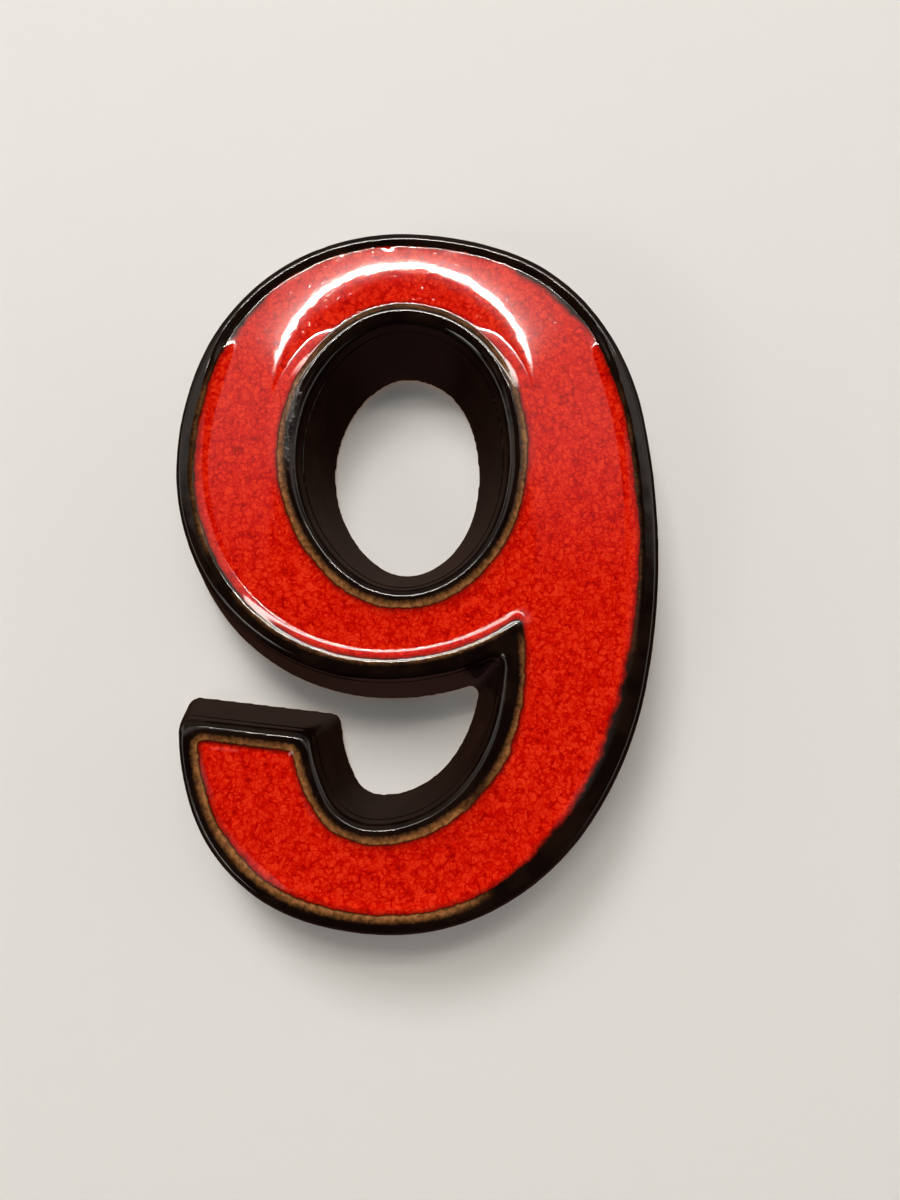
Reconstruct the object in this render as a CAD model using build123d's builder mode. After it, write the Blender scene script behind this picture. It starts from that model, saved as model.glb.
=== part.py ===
from build123d import *
from math import radians, sqrt, tan
import os

# A cast ceramic house number, the digit nine, in millimetres.
# It hangs upright: +Z is up, its flat back lies on the wall at Y = 0 and its face looks along -Y.
# The origin is in the middle of the back.

# Outside of the digit, measured at its front edge before the walls spread towards the wall
face_width = 115.0
face_height = 167.2
depth = 24.0

# Where the outline touches that frame, as shares of its width and height from the middle
crown_x = -0.035
belly_z = 0.042
heel_x = -0.0435
bowl_z = 0.1525

# How full each rounded corner of the outline is, where 0.707 is an ellipse
crown_right_fullness = 0.753
crown_left_fullness = 0.717
bowl_fullness = 0.712
heel_right_fullness = 0.725
heel_left_fullness = 0.735

# Underside of the bowl, the notch where it meets the stem, and the bay below it, in the same shares
bowl_low_x = -0.061
bowl_low_z = -0.1543
notch_x = 0.181
notch_z = -0.1136
bay_low_x = -0.078
bay_low_z = -0.354
bay_fullness = 0.72
notch_round = 2.0

# The end of the hook, in the same shares
hook_inner_x = -0.2105
hook_inner_z = -0.2297
hook_outer_x = -0.478
hook_outer_z = -0.208
hook_lean = -0.1
hook_crest_round = 1.6

# The eye of the bowl, in the same shares
eye_x = -0.028
eye_z = 0.1675
eye_width = 0.4435
eye_height = 0.3947
eye_upper_right_fullness = 0.725
eye_upper_left_fullness = 0.70
eye_lower_left_fullness = 0.695
eye_lower_right_fullness = 0.71

# Mould draft of the walls
outer_draft = 11.0
eye_draft = 15.5

# Raised rim round the glaze field
rim_round = 1.6
rim_crest = 3.3
rim_height = 1.2
rim_edge_chamfer = 0.6
field_corner_round = 1.2

# Hollow back, as the mould leaves it
wall = 6.0
front_wall = 6.5

# Worked out from the sizes above
front = Plane.XZ.offset(depth)
outer_spread = tan(radians(outer_draft))
eye_spread = tan(radians(eye_draft))
outer_rim_tangent = rim_round * tan(radians((90 - outer_draft) / 2))
eye_rim_tangent = rim_round * tan(radians((90 - eye_draft) / 2))
field_inset = outer_rim_tangent + rim_crest
eye_field_inset = eye_rim_tangent + rim_crest
field_level = depth - rim_height
hook_round = rim_round + hook_crest_round
hollow_depth = depth - front_wall
hollow_inset = wall - depth * outer_spread
eye_sleeve_growth = wall - depth * eye_spread


def on_face(x, z):
    """A point of the face from its shares of the width and height."""
    return Vector(x * face_width, z * face_height)


crown = on_face(crown_x, 0.5)
belly = on_face(0.5, belly_z)
heel = on_face(heel_x, -0.5)
bowl_side = on_face(-0.5, bowl_z)
bowl_low = on_face(bowl_low_x, bowl_low_z)
notch = on_face(notch_x, notch_z)
bay_low = on_face(bay_low_x, bay_low_z)
hook_inner = on_face(hook_inner_x, hook_inner_z)
hook_outer = on_face(hook_outer_x, hook_outer_z)

eye_right = on_face(eye_x + eye_width / 2, eye_z)
eye_top = on_face(eye_x, eye_z + eye_height / 2)
eye_left = on_face(eye_x - eye_width / 2, eye_z)
eye_bottom = on_face(eye_x, eye_z - eye_height / 2)


def arc_pair(start, start_heading, end, end_heading):
    """Two arcs that meet smoothly and leave start and reach end along the headings."""
    chord = end - start
    along = chord.dot(start_heading + end_heading)
    turn = 2 * (1 - start_heading.dot(end_heading))
    reach = (sqrt(along**2 + turn * chord.dot(chord)) - along) / turn
    joint = (start + start_heading * reach + end - end_heading * reach) * 0.5
    first = TangentArc(start, joint, tangent=start_heading)
    TangentArc(joint, end, tangent=first % 1)


def quarter(start, end, fullness, upright):
    """A quarter turn between two outermost points, as full as asked; upright if it starts up or down."""
    middle = Vector(end.X, start.Y) if upright else Vector(start.X, end.Y)
    outermost = start + end - middle
    shoulder = middle + (outermost - middle) * fullness
    slant = (end - start).normalized()
    along_start = (outermost - start).normalized()
    along_end = (end - outermost).normalized()
    arc_pair(start, along_start, shoulder, slant)
    arc_pair(shoulder, slant, end, along_end)


def digit_outline():
    """The outside of the nine, without its eye."""
    with BuildSketch() as outline:
        with BuildLine():
            quarter(belly, crown, crown_right_fullness, upright=True)
            quarter(crown, bowl_side, crown_left_fullness, upright=False)
            quarter(bowl_side, bowl_low, bowl_fullness, upright=True)
            TangentArc(bowl_low, notch, tangent=(1, 0))
            quarter(notch, bay_low, bay_fullness, upright=True)
            arc_pair(bay_low, Vector(-1, 0), hook_inner, Vector(hook_lean, 1).normalized())
            Line(hook_inner, hook_outer)
            quarter(hook_outer, heel, heel_left_fullness, upright=True)
            quarter(heel, belly, heel_right_fullness, upright=False)
        make_face()
    return outline.sketch


def eye_outline():
    """The eye of the nine."""
    with BuildSketch() as outline:
        with BuildLine():
            quarter(eye_right, eye_top, eye_upper_right_fullness, upright=True)
            quarter(eye_top, eye_left, eye_upper_left_fullness, upright=False)
            quarter(eye_left, eye_bottom, eye_lower_left_fullness, upright=True)
            quarter(eye_bottom, eye_right, eye_lower_right_fullness, upright=False)
        make_face()
    return outline.sketch


def drawn_in(outline, inset):
    """An outline drawn in by an inset, or let out if it is negative, with its corners kept sharp."""
    with BuildPart() as slope:
        add(outline)
        extrude(amount=abs(inset))
        draft(side_faces(slope.faces(), Axis.Z), Plane.XY, 45 if inset > 0 else -45)
    with BuildSketch() as result:
        add(slope.faces().sort_by(Axis.Z)[-1].moved(Location((0, 0, -abs(inset)))))
    return result.sketch


def side_faces(faces, axis=Axis.Y):
    """The walls that stand along the axis."""
    return faces.filter_by(lambda face: abs(face.normal_at().dot(axis.direction)) < 0.5)


def corners_near(sketch, points):
    """The sharp corners of a sketch nearest to the given corners of the outline."""
    return [sketch.vertices().sort_by_distance(point)[0] for point in points]


def upright_edges(part, points):
    """The edges that run from front to back at the given corners of the outline."""
    edges = part.edges().filter_by(lambda edge: abs((edge @ 1 - edge @ 0).Y) > depth / 4)
    corners = [Vector(point.X, -depth, point.Y) for point in points]
    return [edges.sort_by_distance(corner)[0] for corner in corners]


# The outside of the digit with its drafted walls
with BuildPart() as digit_block:
    with BuildSketch(Plane.XZ):
        add(digit_outline())
    extrude(amount=depth)
    draft(side_faces(digit_block.faces()), front, outer_draft)
    fillet(upright_edges(digit_block, [hook_inner, hook_outer]), radius=hook_round)
    fillet(upright_edges(digit_block, [notch]), radius=notch_round)

# The plug that leaves the eye
with BuildPart() as eye_plug:
    with BuildSketch(Plane.XZ):
        add(eye_outline())
    extrude(amount=depth)
    draft(side_faces(eye_plug.faces()), front, -eye_draft)

# The space in front of the flat glaze field, inside the rim
with BuildPart() as recess:
    with BuildSketch(Plane.XZ.offset(field_level)) as recess_outline:
        add(drawn_in(digit_outline(), field_inset))
        add(drawn_in(eye_outline(), -eye_field_inset), mode=Mode.SUBTRACT)
        fillet(corners_near(recess_outline, [hook_inner, hook_outer, notch]), radius=field_corner_round)
    extrude(amount=rim_height)

# The hollow that the mould leaves behind the face
with BuildPart() as eye_sleeve:
    with BuildSketch(Plane.XZ):
        add(drawn_in(eye_outline(), -eye_sleeve_growth))
    extrude(amount=depth)
    draft(side_faces(eye_sleeve.faces()), Plane.XZ, -eye_draft)

with BuildPart() as hollow:
    with BuildSketch(Plane.XZ):
        add(drawn_in(digit_outline(), hollow_inset))
    extrude(amount=hollow_depth)
    draft(side_faces(hollow.faces()), Plane.XZ, outer_draft)
    fillet(upright_edges(hollow, [notch]), radius=notch_round + wall)
    add(eye_sleeve.part, mode=Mode.SUBTRACT)

os.makedirs("parts", exist_ok=True)
with BuildPart() as house_number:
    add(digit_block.part)
    add(eye_plug.part, mode=Mode.SUBTRACT)
    fillet(house_number.faces().sort_by(Axis.Y)[0].edges(), radius=rim_round)
    add(hollow.part, mode=Mode.SUBTRACT)
    add(recess.part, mode=Mode.SUBTRACT)
    chamfer(house_number.edges(Select.LAST).group_by(Axis.Y)[0], length=rim_edge_chamfer)

house_number.part.label = "house_number"
export_step(house_number.part, "parts/house_number.step")
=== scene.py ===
import math

import bpy
import numpy as np
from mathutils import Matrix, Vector, kdtree


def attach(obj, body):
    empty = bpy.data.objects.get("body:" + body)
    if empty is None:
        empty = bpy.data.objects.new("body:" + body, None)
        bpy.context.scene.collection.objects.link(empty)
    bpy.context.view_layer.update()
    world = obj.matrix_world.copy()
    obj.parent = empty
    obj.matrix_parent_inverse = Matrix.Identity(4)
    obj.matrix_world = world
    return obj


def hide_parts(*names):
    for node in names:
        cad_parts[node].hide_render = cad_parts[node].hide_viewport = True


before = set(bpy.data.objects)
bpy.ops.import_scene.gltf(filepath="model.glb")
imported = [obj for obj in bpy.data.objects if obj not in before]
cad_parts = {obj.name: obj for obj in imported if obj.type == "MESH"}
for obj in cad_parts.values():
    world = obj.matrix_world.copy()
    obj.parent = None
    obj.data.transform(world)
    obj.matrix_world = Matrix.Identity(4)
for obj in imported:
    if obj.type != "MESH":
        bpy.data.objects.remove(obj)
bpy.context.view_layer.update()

# A cast ceramic digit nine under its glaze. It hangs upright and its face looks along -Y.
MM = 0.001
FLOAT, COLOUR, VECTOR = "NodeSocketFloat", "NodeSocketColor", "NodeSocketVector"

# The cast form, in metres, and the slopes of its drafted walls
depth = 24.0 * MM
field_level = 22.8 * MM
outer_draft = math.tan(math.radians(11.0))
eye_draft = math.tan(math.radians(15.5))

# Rim and wall widths, in millimetres
outer_rim_width = 4.62
eye_rim_width = 4.52
wall = 6.0

# The poured glaze: heights, and places in from the edge of the red, in millimetres
rim_drop = 1.02
drop_start, drop_end = -1.8, 3.2
hook_end, heel_end = 1.0, 5.5
crown_start, crown_end = -2.3, -0.2
crown_hold, crown_fall = 2.5, 1.6
crown_shift = 1.1
crest, crest_rounding = -2.0, 0.06
crown_crest, crown_rounding = -1.2, 0.03
crest_reach = 3.2
pour_start, pour_full = -3.9, -3.2
ripple_full, ripple_end = -2.5, 0.5
field_tilt, field_bend = 0.0098, 12.0
hook_groove, groove_inset, groove_width = 0.25, 0.6, 0.7
meeting_softness = 0.8
side_softness = 1.0

# Where the glaze settles in its own way, in millimetres: the heights of the crown,
# and x, z, inner and outer radius of the hook and the heel
crown_low, crown_high = 42.0, 62.0
hook_place = (-40.0, -41.0, 6.0, 15.0)
heel_place = (22.0, -70.0, 10.0, 30.0)

# Where the poured front starts, by its distance from the wall, and where the thinned mesh,
# the hollow and the foot start, by their place along Y, in metres
front_start, front_full = 19.5 * MM, 20.5 * MM
thin_start, thin_full = -20.5 * MM, -18.5 * MM
hollow_start, hollow_full = -20.0 * MM, -19.0 * MM
foot_start, foot_full = -1.0 * MM, -0.5 * MM

# Mesh of the glazed piece
grid = 0.5 * MM
smoothing_rounds = 6
ripple_height = 0.09 * MM
ripple_length = 5.0 * MM
triangle_target = 190000

# Where the outer rim breaks to tan: x, z, radius in millimetres, and strength
outer_tan_spots = [
    (14, -32, 24, 0.9), (-3, -66, 26, 1.0), (-28, -50, 20, 1.0),
    (-52, -48, 26, 1.0), (-42, -72, 26, 1.0), (-16, -84, 24, 0.85),
    (56, 12, 42, 0.4), (-57, 26, 44, 0.3), (-26, -20, 34, 0.45),
]

# In the same way, where that tan is only a thin line, where the black creeps into the red,
# and where the black is rough
thin_tan_spots = [(24, -38, 26, 1.0), (57, 5, 45, 1.0)]
black_creep_spots = [(46, -46, 46, 1.4), (-38, 58, 12, 1.2), (33, 69, 15, 1.3)]
rough_spot = (-31, 33, 17, 0.06)

# The edge of the red, in millimetres: how it wanders, how the black creeps in, how it fades
wander_size, wander_reach = 9.0, 1.0
wobble_size, wobble_reach = 1.6, 0.8
crown_overflow = 1.0
creep_size, creep_range, creep_least = 4.5, 2.4, -0.4
edge_softness, creep_softness = 0.22, 0.35
edge_shade_width = 1.3

# The tan beside the red, in millimetres from its edge
tan_outer_edge, tan_widening, tan_narrowing = -2.5, -0.5, 0.9
tan_ragged_size, tan_ragged_reach = 1.2, 1.2
tan_rise = 1.9
tan_fall_start, tan_fall_end = -0.05, -0.55
tan_wear_size = 7.0

# Red glaze: colours, the sizes of its bends, web, pits, waves and grain in millimetres,
# and how much each part lightens or darkens it
red_dark = (0.32, 0.0004, 0.0002, 1)
red_body = (0.62, 0.0048, 0.0004, 1)
red_bright = (0.84, 0.034, 0.008, 1)
red_edge = (0.16, 0.004, 0.002, 1)
red_edge_share = 0.7
red_roughness = 0.022
bend_size, bend_reach = 2.6, 1.7
fine_bend_size, fine_bend_reach = 0.8, 0.8
web_cell, web_thin, web_thick = 1.65, 0.18, 0.50
fine_cell, fine_thin, fine_thick = 0.8, 0.10, 0.26
fine_web_shift = (31, 17, 5)
pit_cell, pit_radius, pit_depth = 1.7, 0.2, 0.005
wave_length, wave_height = 4.0, 0.004
grain_size, grain_height = 0.7, 0.0004
cloud_size, knot_size = 9.0, 1.3
least_light, cell_light, grain_light, cloud_light = 0.38, 0.14, 0.45, 0.22
web_shade, fine_web_shade, knot_shade = -0.42, -0.24, -0.16

# Black glaze, tan crest and bare clay
black_thin = (0.0042, 0.0017, 0.0011, 1)
black_pooled = (0.010, 0.0042, 0.0026, 1)
rim_roughness, rim_roughness_range = 0.01, 0.03
wall_roughness = 0.16
peel_size, peel_height = 1.6, 0.01
tan_dark = (0.12, 0.045, 0.012, 1)
tan_light = (0.40, 0.16, 0.05, 1)
tan_roughness = 0.12
clay_dark = (0.42, 0.20, 0.105, 1)
clay_light = (0.55, 0.30, 0.17, 1)
clay_speck = (0.2, 0.09, 0.05, 1)
clay_roughness = 0.85
glaze_ior = 1.52

# The lights in front of the face, by their slope from the middle, across and up
arch_x, arch_z = -0.0595, 0.3275
arch_radius = 0.150
arch_width = 0.0028
arch_thinning = 0.0020
arch_softness = 0.0015
arch_strength = 420.0
near_glow_reach, near_glow_strength = 0.010, 6.5
far_glow_reach, far_glow_strength = 0.045, 1.4
glow_limit = 12.0
ceiling_strength = 0.7
low_light_x, low_light_z = -1.2, -0.8
low_light_radius = 0.5
low_light_strength = 4.0
side_light_strength = 1.0
upper_light_from, upper_light_to = 0.535, 0.60
upper_light_softness = 0.01
upper_light_strength = 18.0
dark_level = 0.012

# Colours of the lights, the room behind, the wall and what the camera sees past it
warm_white = (1.0, 0.94, 0.86)
low_brown = (0.10, 0.045, 0.04, 1)
room_brown = (0.035, 0.015, 0.010, 1)
lit_brown = (0.115, 0.078, 0.062, 1)
plaster = (0.78, 0.77, 0.75, 1)
pale_surround = (0.80, 0.80, 0.79, 1)

# The soft lamps: name, place, size in metres and power in watts
soft_lamps = [
    ("key_lamp", (-0.35, -1.2, 1.0), 0.5, 12.6),
    ("front_fill", (0.1, -1.6, -0.1), 1.0, 3.0),
    ("left_back_fill", (-0.8, 1.1, 0.5), 0.6, 12.0),
    ("right_back_fill", (0.8, 1.1, 0.3), 0.6, 7.0),
]

# The wall and the camera: metres, the lens in millimetres and the turns in degrees
wall_size = 6.0
wall_gap = 0.6 * MM
camera_lens, camera_sensor = 27.03, 36.0
camera_place = (0.00939, -0.234, -0.03067)
camera_tilt, camera_turn = 96.33, 0.32


# Mesh helpers

def deselect_all():
    bpy.ops.object.select_all(action="DESELECT")


def make_active(piece):
    deselect_all()
    piece.select_set(True)
    bpy.context.view_layer.objects.active = piece


def apply_modifier(piece, kind, **settings):
    """Adds a modifier with its settings and applies it."""
    modifier = piece.modifiers.new(kind.lower(), kind)
    for name, value in settings.items():
        setattr(modifier, name, value)
    make_active(piece)
    bpy.ops.object.modifier_apply(modifier=modifier.name)


def copy_of_node(node, name):
    """A piece with its own copy of a CAD node's mesh, its triangles merged."""
    piece = bpy.data.objects.new(name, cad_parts[node].data.copy())
    bpy.context.scene.collection.objects.link(piece)
    make_active(piece)
    bpy.ops.object.mode_set(mode="EDIT")
    bpy.ops.mesh.select_all(action="SELECT")
    bpy.ops.mesh.remove_doubles(threshold=1e-6)
    bpy.ops.object.mode_set(mode="OBJECT")
    return piece


def points_of(mesh):
    values = np.empty(len(mesh.vertices) * 3)
    mesh.vertices.foreach_get("co", values)
    return values.reshape(-1, 3)


def normals_of(mesh):
    values = np.empty(len(mesh.vertices) * 3)
    mesh.vertices.foreach_get("normal", values)
    return values.reshape(-1, 3)


def store(mesh, name, values):
    """Keeps a value of each point under a name, for the material."""
    attribute = mesh.attributes.new(name, "FLOAT", "POINT")
    attribute.data.foreach_set("value", values.astype(np.float32))


def weigh(piece, name, weights):
    """A vertex group with weights in steps of a tenth."""
    group = piece.vertex_groups.new(name=name)
    tenths = np.round(weights * 10).astype(int)
    for tenth in range(1, 11):
        group.add(np.flatnonzero(tenths == tenth).tolist(), tenth / 10, "REPLACE")
    return group.name


def smoothstep(values, low, high):
    t = np.clip((values - low) / (high - low), 0, 1)
    return t * t * (3 - 2 * t)


# The glazed piece

def field_edges(mesh):
    """The loops where the floor of the glaze field meets the rim, longest first."""
    upright = {}
    for face in mesh.polygons:
        if abs(face.normal.y) < 0.1:
            for key in face.edge_keys:
                upright[key] = True
    level = [abs(v.co.y + field_level) < 1e-5 for v in mesh.vertices]
    neighbours = {}
    for a, b in upright:
        if level[a] and level[b]:
            neighbours.setdefault(a, []).append(b)
            neighbours.setdefault(b, []).append(a)
    loops = []
    while neighbours:
        here = next(iter(neighbours))
        loop = []
        while here is not None:
            loop.append(mesh.vertices[here].co.copy())
            following = [n for n in neighbours.pop(here) if n in neighbours]
            here = following[0] if following else None
        loops.append(loop)
    return sorted(loops, key=len, reverse=True)


def smooth_loop(corners):
    """Evenly smooth points along a loop of corners, in the plane of the face."""
    curve = bpy.data.curves.new("field_edge", "CURVE")
    curve.dimensions = "3D"
    curve.resolution_u = 24
    spline = curve.splines.new("BEZIER")
    spline.bezier_points.add(len(corners) - 1)
    for point, corner in zip(spline.bezier_points, corners):
        point.co = corner
        point.handle_left_type = "AUTO"
        point.handle_right_type = "AUTO"
    spline.use_cyclic_u = True
    line = bpy.data.objects.new("field_edge", curve)
    bpy.context.scene.collection.objects.link(line)
    mesh = bpy.data.meshes.new_from_object(line)
    points = points_of(mesh)[:, [0, 2]]
    bpy.data.objects.remove(line)
    bpy.data.meshes.remove(mesh)
    return points


def distance_inside(points, loop):
    """How far each point of the face lies inside a loop, negative outside it."""
    ahead = np.roll(loop, -1, axis=0)
    behind = np.roll(loop, 1, axis=0)
    area = np.sum(loop[:, 0] * ahead[:, 1] - ahead[:, 0] * loop[:, 1])
    tree = kdtree.KDTree(len(loop))
    for index, (x, z) in enumerate(loop):
        tree.insert((x, z, 0), index)
    tree.balance()
    nearest = np.array([tree.find((x, z, 0))[1] for x, z in points])
    along = ahead[nearest] - behind[nearest]
    along /= np.maximum(np.linalg.norm(along, axis=1, keepdims=True), 1e-12)
    offset = points - loop[nearest]
    side = along[:, 0] * offset[:, 1] - along[:, 1] * offset[:, 0]
    span = np.sum(along * offset, axis=1)
    step = np.linalg.norm(ahead[nearest] - behind[nearest], axis=1) / 2
    beyond = np.maximum(np.abs(span) - step, 0)
    return np.sign(side) * np.sign(area) * np.hypot(side, beyond)


def insets(points, outer_loop, eye_loop):
    """Distance in from the edge of the red, and from its two loops alone, in millimetres."""
    across = points[:, [0, 2]]
    from_outer = distance_inside(across, outer_loop) / MM
    from_eye = -distance_inside(across, eye_loop) / MM
    nearer = np.minimum(from_outer, from_eye)
    sides = (from_outer, from_eye)
    shared = sum(np.exp((nearer - side) / meeting_softness) for side in sides)
    return nearer - meeting_softness * np.log(shared), from_outer, from_eye


def near_place(points, x, z, inner, outer):
    """1 within the inner radius of a place of the face, falling to 0 at the outer one."""
    away = np.hypot(points[:, 0] - x * MM, points[:, 2] - z * MM)
    return smoothstep(away, outer * MM, inner * MM)


def glaze_height(inset, height, crown, hook, heel):
    """Height of the glaze over the crest: its field rises towards the rim at the crown."""
    across = np.clip((inset - crown_start) / (crown_end - crown_start), 0, 1)
    on_crown = 1 - (1 - across ** crown_hold) ** crown_fall
    end = drop_end + hook * (hook_end - drop_end) + heel * (heel_end - drop_end)
    elsewhere = smoothstep(inset, drop_start, end)
    settled = elsewhere + crown * (on_crown - elsewhere)
    lift = field_tilt * field_bend * np.log1p(np.exp(height / field_bend))
    groove = hook * hook_groove * np.exp(-((inset - groove_inset) / groove_width) ** 2)
    return -settled * (rim_drop - lift) - groove


def pour_glaze(piece, outer_loop, eye_loop):
    """Sets the front to the poured glaze. Returns how far each point is in front and inside."""
    mesh = piece.data
    points = points_of(mesh)
    inset, from_outer, from_eye = insets(points, outer_loop, eye_loop)
    front = smoothstep(-points[:, 1], front_start, front_full)
    crown = smoothstep(points[:, 2], crown_low * MM, crown_high * MM)
    hook = near_place(points, *hook_place)
    heel = near_place(points, *heel_place)
    outer = smoothstep(from_eye - from_outer, -side_softness, side_softness)
    onto_rim = inset + crown_shift * crown * outer
    poured = -depth - glaze_height(onto_rim, points[:, 2] / MM, crown, hook, heel) * MM
    points[:, 1] += front * smoothstep(inset, pour_start, pour_full) * (poured - points[:, 1])
    past_crest = crest + crown * (crown_crest - crest) - onto_rim
    past_crest = np.clip(past_crest, 0, crest_reach)
    rounding = crest_rounding + crown * (crown_rounding - crest_rounding)
    points[:, 1] += front * rounding * past_crest ** 2 * MM
    mesh.vertices.foreach_set("co", points.ravel())
    mesh.update()
    return front, inset


def ripple_rim(piece, front, inset):
    """Ripples the rim and the walls, but not the level field."""
    weights = 1 - front * smoothstep(inset, ripple_full, ripple_end)
    rippled = weigh(piece, "rippled", weights)
    ripple = bpy.data.textures.new("glaze_ripple", "CLOUDS")
    ripple.noise_scale = ripple_length
    ripple.noise_depth = 1
    apply_modifier(piece, "DISPLACE", texture=ripple, texture_coords="LOCAL",
                   vertex_group=rippled, strength=ripple_height, mid_level=0.5)


def thin_back(piece):
    """Thins the mesh of the walls and the back, and keeps the rim and the face fine."""
    points = points_of(piece.data)
    behind = weigh(piece, "behind", smoothstep(points[:, 1], thin_start, thin_full))
    triangles = sum(len(face.vertices) - 2 for face in piece.data.polygons)
    apply_modifier(piece, "DECIMATE", decimate_type="COLLAPSE",
                   ratio=min(1.0, triangle_target / triangles),
                   vertex_group=behind, vertex_group_factor=20.0)


def mark_zones(piece, outer_loop, eye_loop):
    """Stores where the red, the eye's own rim and the bare foot and hollow are."""
    mesh = piece.data
    points = points_of(mesh)
    inset, from_outer, from_eye = insets(points, outer_loop, eye_loop)
    store(mesh, "inset", inset)
    store(mesh, "by_eye", smoothstep(from_outer - from_eye, -side_softness, side_softness))
    back_by = (depth + points[:, 1]) / MM
    outer_wall = from_outer + outer_rim_width + back_by * outer_draft
    eye_wall = from_eye + eye_rim_width + back_by * eye_draft
    into_wall = np.minimum(outer_wall, eye_wall)
    hollow = smoothstep(points[:, 1], hollow_start, hollow_full)
    hollow = hollow * smoothstep(into_wall, 0.4 * wall, 0.6 * wall)
    foot = smoothstep(normals_of(mesh)[:, 1], 0.8, 0.95)
    foot = foot * smoothstep(points[:, 1], foot_start, foot_full)
    store(mesh, "bare", np.maximum(hollow, foot))


def glazed_nine():
    """The cast digit under its glaze: the CAD form with a poured face and soft edges."""
    piece = copy_of_node("house_number", "glazed_nine")
    loops = [smooth_loop(corners) for corners in field_edges(piece.data)]
    apply_modifier(piece, "REMESH", mode="VOXEL", voxel_size=grid, adaptivity=0.0)
    apply_modifier(piece, "SMOOTH", factor=0.5, iterations=smoothing_rounds)
    ripple_rim(piece, *pour_glaze(piece, *loops))
    thin_back(piece)
    mark_zones(piece, *loops)
    make_active(piece)
    bpy.ops.object.shade_smooth()
    return piece


# Node helpers

def put(tree, kind, inputs=None, **settings):
    """Adds a node with its properties. Each of its inputs is linked or filled."""
    node = tree.nodes.new(kind)
    for name, value in settings.items():
        setattr(node, name, value)
    for key, value in (inputs or {}).items():
        socket = node.inputs[key]
        if isinstance(value, bpy.types.NodeSocket):
            tree.links.new(value, socket)
        else:
            socket.default_value = value
    return node


def math_node(tree, operation, a, b=0.0, c=0.0, clamp=False):
    node = put(tree, "ShaderNodeMath", {0: a, 1: b, 2: c}, operation=operation, use_clamp=clamp)
    return node.outputs[0]


def times(tree, a, b):
    return math_node(tree, "MULTIPLY", a, b)


def plus(tree, a, b):
    return math_node(tree, "ADD", a, b)


def minus(tree, a, b):
    return math_node(tree, "SUBTRACT", a, b)


def larger(tree, a, b):
    return math_node(tree, "MAXIMUM", a, b)


def scaled(tree, value, factor, start):
    """A value times a factor, added to a start."""
    return math_node(tree, "MULTIPLY_ADD", value, factor, start)


def size_of(tree, value):
    return math_node(tree, "ABSOLUTE", value)


def vector_node(tree, operation, a, b):
    return put(tree, "ShaderNodeVectorMath", {0: a, 1: b}, operation=operation).outputs[0]


def stretched(tree, vector, factor):
    node = put(tree, "ShaderNodeVectorMath", {0: vector, "Scale": factor}, operation="SCALE")
    return node.outputs[0]


def axes_of(tree, vector):
    return put(tree, "ShaderNodeSeparateXYZ", {0: vector}).outputs


def ease(tree, value, low, high):
    """A soft step from 0 at low to 1 at high."""
    node = put(tree, "ShaderNodeMapRange", {"Value": value, "From Min": low, "From Max": high},
               interpolation_type="SMOOTHSTEP")
    return node.outputs["Result"]


def blend(tree, share, first, second):
    """A colour between two colours."""
    node = put(tree, "ShaderNodeMix", {0: share, 6: first, 7: second}, data_type="RGBA")
    return node.outputs[2]


def between(tree, share, first, second):
    """A value between two values."""
    return put(tree, "ShaderNodeMix", {0: share, 2: first, 3: second}).outputs[0]


def noise(tree, place, size, detail=2.0, roughness=0.5):
    inputs = {"Vector": place, "Scale": 1.0 / size, "Detail": detail, "Roughness": roughness}
    return put(tree, "ShaderNodeTexNoise", inputs, noise_dimensions="3D").outputs["Fac"]


def drifted(tree, place, size, amount):
    """A place moved about by a noise."""
    inputs = {"Vector": place, "Scale": 1 / size, "Detail": 1.0}
    drift = put(tree, "ShaderNodeTexNoise", inputs).outputs["Color"]
    drift = vector_node(tree, "SUBTRACT", drift, (0.5, 0.5, 0.5))
    return vector_node(tree, "ADD", place, stretched(tree, drift, amount))


def cells(tree, place, size):
    """A random value for each cell, and the distance from its middle in shares of its size."""
    inputs = {"Vector": place, "Scale": 1 / size}
    cell = put(tree, "ShaderNodeTexVoronoi", inputs, feature="F1").outputs
    value = put(tree, "ShaderNodeSeparateColor", {0: cell["Color"]}).outputs[0]
    return value, cell["Distance"]


def web_lines(tree, place, size, thin, thick):
    """Dark lines between cells, of a width that changes along them."""
    inputs = {"Vector": place, "Scale": 1 / size}
    cell = put(tree, "ShaderNodeTexVoronoi", inputs, feature="DISTANCE_TO_EDGE")
    share = ease(tree, noise(tree, place, 1.4 * size, 2.0), 0.35, 0.7)
    width = scaled(tree, share, (thick - thin) / size, thin / size)
    line = ease(tree, cell.outputs["Distance"], width, 0.0)
    return times(tree, line, scaled(tree, share, 0.7, 0.3))


def soft_spot(tree, place, x, z, radius, amount):
    """An amount at a spot of the face, falling to 0 at its radius, in millimetres."""
    flat = vector_node(tree, "MULTIPLY", place, (1, 0, 1))
    node = put(tree, "ShaderNodeVectorMath", {0: flat, 1: (x, 0, z)}, operation="DISTANCE")
    return times(tree, ease(tree, node.outputs["Value"], radius, radius * 0.35), amount)


def soft_spots(tree, place, spots):
    """The largest amount of several spots."""
    largest = soft_spot(tree, place, *spots[0])
    for spot in spots[1:]:
        largest = larger(tree, largest, soft_spot(tree, place, *spot))
    return largest


def group(name, inputs, outputs):
    """A node group with named sockets: the group, its inputs and a setter of its outputs."""
    tree = bpy.data.node_groups.new(name, "ShaderNodeTree")
    for label, kind in inputs:
        tree.interface.new_socket(label, in_out="INPUT", socket_type=kind)
    for label, kind in outputs:
        tree.interface.new_socket(label, in_out="OUTPUT", socket_type=kind)
    start = tree.nodes.new("NodeGroupInput")
    end = tree.nodes.new("NodeGroupOutput")

    def give(label, socket):
        tree.links.new(socket, end.inputs[label])

    return tree, start.outputs, give


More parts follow.
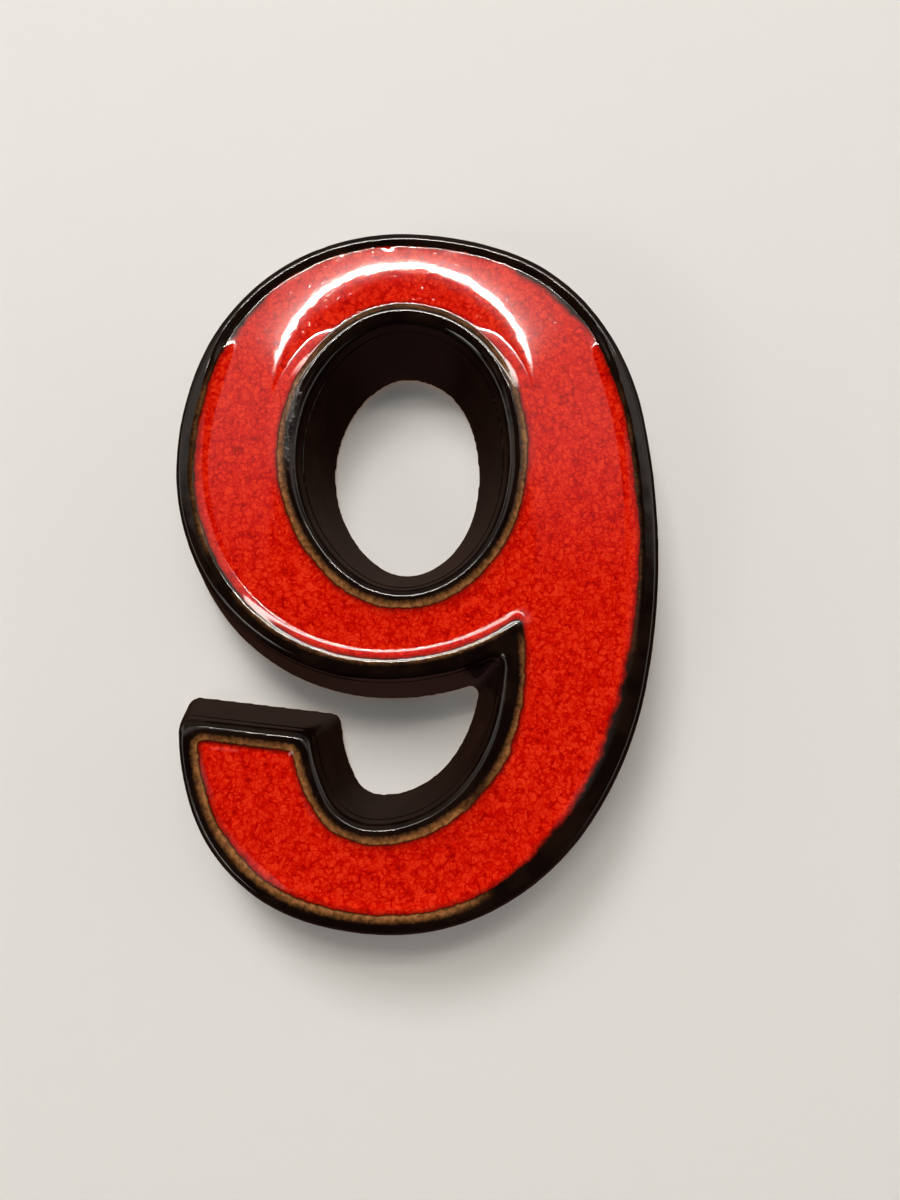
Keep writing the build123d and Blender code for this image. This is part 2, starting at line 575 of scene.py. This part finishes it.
def use(tree, node_group, **inputs):
    """A node group in use. Returns its outputs."""
    node = tree.nodes.new("ShaderNodeGroup")
    node.node_tree = node_group
    for name, socket in inputs.items():
        tree.links.new(socket, node.inputs[name])
    return node.outputs


# The glaze

def red_edge_line(tree, place, inset, height, by_eye):
    """Distance in from the wandering edge of the red, and how far the black creeps into it."""
    wander = minus(tree, noise(tree, place, wander_size), 0.5)
    wobble = minus(tree, noise(tree, place, wobble_size, 3.0), 0.5)
    line = scaled(tree, wander, wander_reach, inset)
    line = scaled(tree, wobble, wobble_reach, line)
    crown = ease(tree, height, crown_low, crown_high)
    outer_crown = times(tree, crown, minus(tree, 1.0, by_eye))
    line = scaled(tree, outer_crown, crown_overflow, line)
    creep = soft_spots(tree, place, black_creep_spots)
    ragged = scaled(tree, noise(tree, place, creep_size, 3.0), creep_range, creep_least)
    return minus(tree, line, times(tree, creep, ragged)), creep


def tan_share(tree, place, inset, line, height, by_eye):
    """How much tan shows beside the red."""
    eye_tan = scaled(tree, ease(tree, height, 60.0, 12.0), 0.6, 0.4)
    outer_tan = soft_spots(tree, place, outer_tan_spots)
    amount = between(tree, by_eye, outer_tan, eye_tan)
    ragged = noise(tree, place, tan_ragged_size, 4.0, 0.6)
    outer_edge = scaled(tree, ragged, tan_ragged_reach, tan_outer_edge)
    low_eye = times(tree, by_eye, ease(tree, height, 40.0, 12.0))
    wider = larger(tree, ease(tree, height, -25.0, -50.0), low_eye)
    outer_edge = scaled(tree, wider, tan_widening, outer_edge)
    thin = soft_spots(tree, place, thin_tan_spots)
    outer_edge = scaled(tree, thin, tan_narrowing, outer_edge)
    rise = ease(tree, inset, outer_edge, plus(tree, outer_edge, tan_rise))
    fall = ease(tree, line, tan_fall_start, tan_fall_end)
    worn = plus(tree, amount, noise(tree, place, tan_wear_size, 3.0))
    worn = ease(tree, worn, 0.5, 1.25)
    worn = times(tree, worn, ease(tree, amount, 0.0, 0.25))
    return times(tree, times(tree, rise, fall), worn)


def zone_group():
    """Where the red, its darker edge and the tan crest are."""
    tree, given, give = group("glaze_zones",
                              [("Place", VECTOR), ("Inset", FLOAT), ("By Eye", FLOAT)],
                              [("Red", FLOAT), ("Edge Shade", FLOAT), ("Tan", FLOAT)])
    place, inset, by_eye = given["Place"], given["Inset"], given["By Eye"]
    height = axes_of(tree, place)["Z"]
    line, creep = red_edge_line(tree, place, inset, height, by_eye)
    softness = scaled(tree, creep, creep_softness, edge_softness)
    give("Red", ease(tree, line, times(tree, softness, -1.0), softness))
    give("Edge Shade", ease(tree, line, edge_shade_width, 0.0))
    give("Tan", tan_share(tree, place, inset, line, height, by_eye))
    return tree


def red_group():
    """Mottled red glaze: bright grains in a broken dark web, with a few pits."""
    tree, given, give = group("red_mottle", [("Place", VECTOR)],
                              [("Colour", COLOUR), ("Height", FLOAT)])
    place = given["Place"]
    bent = drifted(tree, place, bend_size, bend_reach)
    bent = drifted(tree, bent, fine_bend_size, fine_bend_reach)
    web = web_lines(tree, bent, web_cell, web_thin, web_thick)
    elsewhere = vector_node(tree, "ADD", bent, fine_web_shift)
    fine_web = web_lines(tree, elsewhere, fine_cell, fine_thin, fine_thick)
    tint = cells(tree, bent, web_cell)[0]
    cloud = noise(tree, place, cloud_size, 3.0)
    grain = noise(tree, place, grain_size, 2.0)
    knots = ease(tree, noise(tree, bent, knot_size, 2.0), 0.58, 0.74)
    light = scaled(tree, tint, cell_light, least_light)
    light = scaled(tree, grain, grain_light, light)
    light = scaled(tree, cloud, cloud_light, light)
    light = scaled(tree, web, web_shade, light)
    light = scaled(tree, fine_web, fine_web_shade, light)
    light = math_node(tree, "MULTIPLY_ADD", knots, knot_shade, light, clamp=True)
    body = blend(tree, ease(tree, light, 0.05, 0.6), red_dark, red_body)
    give("Colour", blend(tree, ease(tree, light, 0.5, 0.95), body, red_bright))
    chosen, distance = cells(tree, place, pit_cell)
    pit = ease(tree, distance, pit_radius, 0.1 * pit_radius)
    pit = times(tree, pit, ease(tree, chosen, 0.45, 0.5))
    wave = noise(tree, place, wave_length, 1.0)
    height = scaled(tree, wave, wave_height, times(tree, grain, grain_height))
    give("Height", scaled(tree, pit, -pit_depth, height))
    return tree


def black_group():
    """Black glaze, pooled and slightly uneven, rough on the left of the eye's rim."""
    tree, given, give = group("black_glaze", [("Place", VECTOR)],
                              [("Colour", COLOUR), ("Roughness", FLOAT), ("Height", FLOAT)])
    place = given["Place"]
    pool = ease(tree, noise(tree, place, 7.0, 3.0), 0.4, 0.7)
    give("Colour", blend(tree, pool, black_thin, black_pooled))
    on_rim = scaled(tree, noise(tree, place, 3.0, 3.0), rim_roughness_range, rim_roughness)
    on_wall = ease(tree, axes_of(tree, place)["Y"], -22.0, -17.0)
    give("Roughness", scaled(tree, on_wall, wall_roughness, on_rim))
    peel = times(tree, noise(tree, place, peel_size, 2.0), peel_height)
    rough = times(tree, noise(tree, place, 0.5, 2.0), soft_spot(tree, place, *rough_spot))
    give("Height", plus(tree, peel, rough))
    return tree


def tan_group():
    """The crest of the rim, where the thin glaze breaks to tan."""
    tree, given, give = group("tan_crest", [("Place", VECTOR)], [("Colour", COLOUR)])
    share = ease(tree, noise(tree, given["Place"], 1.4, 4.0, 0.65), 0.3, 0.7)
    give("Colour", blend(tree, share, tan_dark, tan_light))
    return tree


def clay_group():
    """Bare fired clay of the foot and the hollow back."""
    tree, given, give = group("bare_clay", [("Place", VECTOR)],
                              [("Colour", COLOUR), ("Height", FLOAT)])
    place = given["Place"]
    patch = noise(tree, place, 14.0, 4.0, 0.6)
    speck = ease(tree, noise(tree, place, 0.8, 2.0), 0.62, 0.72)
    colour = blend(tree, ease(tree, patch, 0.3, 0.7), clay_dark, clay_light)
    give("Colour", blend(tree, times(tree, speck, 0.6), colour, clay_speck))
    grit = noise(tree, place, 1.0, 5.0, 0.6)
    give("Height", scaled(tree, grit, 0.12, times(tree, patch, 0.2)))
    return tree


def attribute_of(tree, name):
    return put(tree, "ShaderNodeAttribute", attribute_name=name).outputs["Fac"]


def glaze_material():
    """One firing of red, black and tan glaze over clay."""
    material = bpy.data.materials.new("glazed_earthenware")
    material.use_nodes = True
    tree = material.node_tree
    shader = tree.nodes["Principled BSDF"]
    place = stretched(tree, put(tree, "ShaderNodeTexCoord").outputs["Object"], 1 / MM)
    inset, by_eye, bare = [attribute_of(tree, name) for name in ("inset", "by_eye", "bare")]
    zones = use(tree, zone_group(), **{"Place": place, "Inset": inset, "By Eye": by_eye})
    red = use(tree, red_group(), Place=place)
    black = use(tree, black_group(), Place=place)
    tan = use(tree, tan_group(), Place=place)
    clay = use(tree, clay_group(), Place=place)
    colour = blend(tree, zones["Tan"], black["Colour"], tan["Colour"])
    edge_share = times(tree, zones["Edge Shade"], red_edge_share)
    shaded_red = blend(tree, edge_share, red["Colour"], red_edge)
    colour = blend(tree, zones["Red"], colour, shaded_red)
    colour = blend(tree, bare, colour, clay["Colour"])
    tree.links.new(colour, shader.inputs["Base Color"])
    rough = between(tree, zones["Red"], black["Roughness"], red_roughness)
    rough = scaled(tree, zones["Tan"], tan_roughness, rough)
    rough = larger(tree, rough, times(tree, bare, clay_roughness))
    tree.links.new(rough, shader.inputs["Roughness"])
    height = between(tree, zones["Red"], black["Height"], red["Height"])
    height = between(tree, bare, height, clay["Height"])
    bump = put(tree, "ShaderNodeBump", {"Strength": 1.0, "Distance": MM, "Height": height})
    tree.links.new(bump.outputs["Normal"], shader.inputs["Normal"])
    shader.inputs["IOR"].default_value = glaze_ior
    return material


# The studio

def pale_wall():
    """The pale surface behind the digit, seen only from its front."""
    deselect_all()
    bpy.ops.mesh.primitive_plane_add(size=wall_size, location=(0, wall_gap, 0),
                                     rotation=(math.pi / 2, 0, 0))
    surface = bpy.context.object
    surface.name = "pale_wall"
    surface.visible_diffuse = False
    surface.visible_glossy = False
    surface.visible_shadow = False
    material = bpy.data.materials.new("pale_plaster")
    material.use_nodes = True
    tree = material.node_tree
    shader = tree.nodes["Principled BSDF"]
    shader.inputs["Base Color"].default_value = plaster
    shader.inputs["Roughness"].default_value = 0.9
    shader.inputs["Specular IOR Level"].default_value = 0.0
    clear = put(tree, "ShaderNodeBsdfTransparent").outputs[0]
    behind = put(tree, "ShaderNodeNewGeometry").outputs["Backfacing"]
    seen = put(tree, "ShaderNodeMixShader", {0: behind, 1: shader.outputs[0], 2: clear})
    tree.links.new(seen.outputs[0], tree.nodes["Material Output"].inputs["Surface"])
    surface.data.materials.append(material)


def soft_lamp(name, place, size, power):
    """A square lamp that faces the digit and leaves no reflection of its own in the glaze."""
    lamp = bpy.data.lights.new(name, "AREA")
    lamp.shape = "SQUARE"
    lamp.size = size
    lamp.energy = power
    holder = bpy.data.objects.new(name, lamp)
    bpy.context.scene.collection.objects.link(holder)
    holder.location = place
    holder.rotation_euler = (-Vector(place)).to_track_quat("-Z", "Y").to_euler()
    holder.visible_glossy = False


def distance_of(tree, across, up):
    return math_node(tree, "SQRT", scaled(tree, across, across, times(tree, up, up)))


def fading(tree, distance, reach):
    """Falls away with distance, from 1 at 0."""
    return math_node(tree, "EXPONENT", times(tree, distance, -1 / reach))


def soft_ceiling(tree, across, up):
    """A soft light above, dimmer overhead and to the sides."""
    ceiling = times(tree, ease(tree, up, 0.10, 0.35), ceiling_strength)
    overhead = scaled(tree, ease(tree, up, 0.75, 0.52), 0.75, 0.25)
    ceiling = times(tree, ceiling, overhead)
    sides = ease(tree, size_of(tree, across), 3.0, 1.0)
    return times(tree, ceiling, scaled(tree, sides, 0.8, 0.2))


def arch_light(tree, across, up):
    """An arched strip light with its glow, under the ceiling and over a dark lower half."""
    across = minus(tree, across, arch_x)
    above = minus(tree, up, arch_z)
    away = distance_of(tree, across, larger(tree, above, 0.0))
    steepness = math_node(tree, "DIVIDE", above, larger(tree, away, 0.01))
    outside = ease(tree, away, arch_radius - 0.002, arch_radius + 0.001)
    past = minus(tree, away, arch_radius + arch_width)
    thinning = times(tree, ease(tree, steepness, 0.9, 0.2), arch_thinning)
    core = ease(tree, plus(tree, past, thinning), arch_softness, -arch_softness)
    far_glow = times(tree, fading(tree, past, far_glow_reach), far_glow_strength)
    glow = scaled(tree, fading(tree, past, near_glow_reach), near_glow_strength, far_glow)
    strip = scaled(tree, core, arch_strength, math_node(tree, "MINIMUM", glow, glow_limit))
    ends = math_node(tree, "POWER", ease(tree, steepness, 0.0, 0.5), 3.0)
    lit = scaled(tree, strip, ends, soft_ceiling(tree, across, up))
    return scaled(tree, outside, lit, dark_level)


def low_light(tree, across, up):
    """A soft light low on the left."""
    across = minus(tree, across, low_light_x)
    up = minus(tree, up, low_light_z)
    away = distance_of(tree, across, up)
    spot = ease(tree, away, low_light_radius, 0.4 * low_light_radius)
    return times(tree, spot, low_light_strength)


def side_lights(tree, across, up):
    """A faint tall light on either side."""
    out = size_of(tree, across)
    band = times(tree, ease(tree, out, 1.6, 2.6), ease(tree, out, 7.0, 4.0))
    tall = ease(tree, size_of(tree, up), 3.0, 1.5)
    return times(tree, times(tree, band, tall), side_light_strength)


def upper_light(tree, across, up):
    """A narrow level light above the arch."""
    soft = upper_light_softness
    lower = ease(tree, up, upper_light_from - soft, upper_light_from + soft)
    upper = ease(tree, up, upper_light_to + soft, upper_light_to - soft)
    reach = ease(tree, size_of(tree, across), 0.5, 0.3)
    return times(tree, times(tree, times(tree, lower, upper), reach), upper_light_strength)


def studio_world():
    """The lights in front, a dim brown room behind, and pale for the camera itself."""
    world = bpy.data.worlds.new("studio")
    bpy.context.scene.world = world
    world.use_nodes = True
    tree = world.node_tree
    ray = put(tree, "ShaderNodeLightPath").outputs["Is Camera Ray"]
    axes = axes_of(tree, put(tree, "ShaderNodeTexCoord").outputs["Generated"])
    ahead = larger(tree, times(tree, axes["Y"], -1.0), 0.03)
    across = math_node(tree, "DIVIDE", axes["X"], ahead)
    up = math_node(tree, "DIVIDE", axes["Z"], ahead)
    front = arch_light(tree, across, up)
    for light in (low_light, side_lights, upper_light):
        front = plus(tree, front, light(tree, across, up))
    front = stretched(tree, warm_white, front)
    behind = blend(tree, ease(tree, axes["Z"], 0.1, 0.7), room_brown, lit_brown)
    behind = blend(tree, ease(tree, axes["Z"], -0.2, -0.7), behind, low_brown)
    room = blend(tree, ease(tree, axes["Y"], 0.05, -0.05), behind, front)
    background = tree.nodes["Background"]
    tree.links.new(blend(tree, ray, room, pale_surround), background.inputs["Color"])
    background.inputs["Strength"].default_value = 1.0


def photo_camera():
    """The camera at the photograph's viewing angle."""
    camera = bpy.data.cameras.new("photo_camera")
    camera.lens = camera_lens
    camera.sensor_width = camera_sensor
    camera.clip_start = 0.01
    holder = bpy.data.objects.new("photo_camera", camera)
    bpy.context.scene.collection.objects.link(holder)
    holder.location = camera_place
    holder.rotation_euler = (math.radians(camera_tilt), 0, math.radians(camera_turn))
    bpy.context.scene.camera = holder


nine = glazed_nine()
nine.data.materials.clear()
nine.data.materials.append(glaze_material())
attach(nine, "root")
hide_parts("house_number")

pale_wall()
studio_world()
for lamp in soft_lamps:
    soft_lamp(*lamp)
photo_camera()
bpy.context.scene.view_settings.view_transform = "Standard"
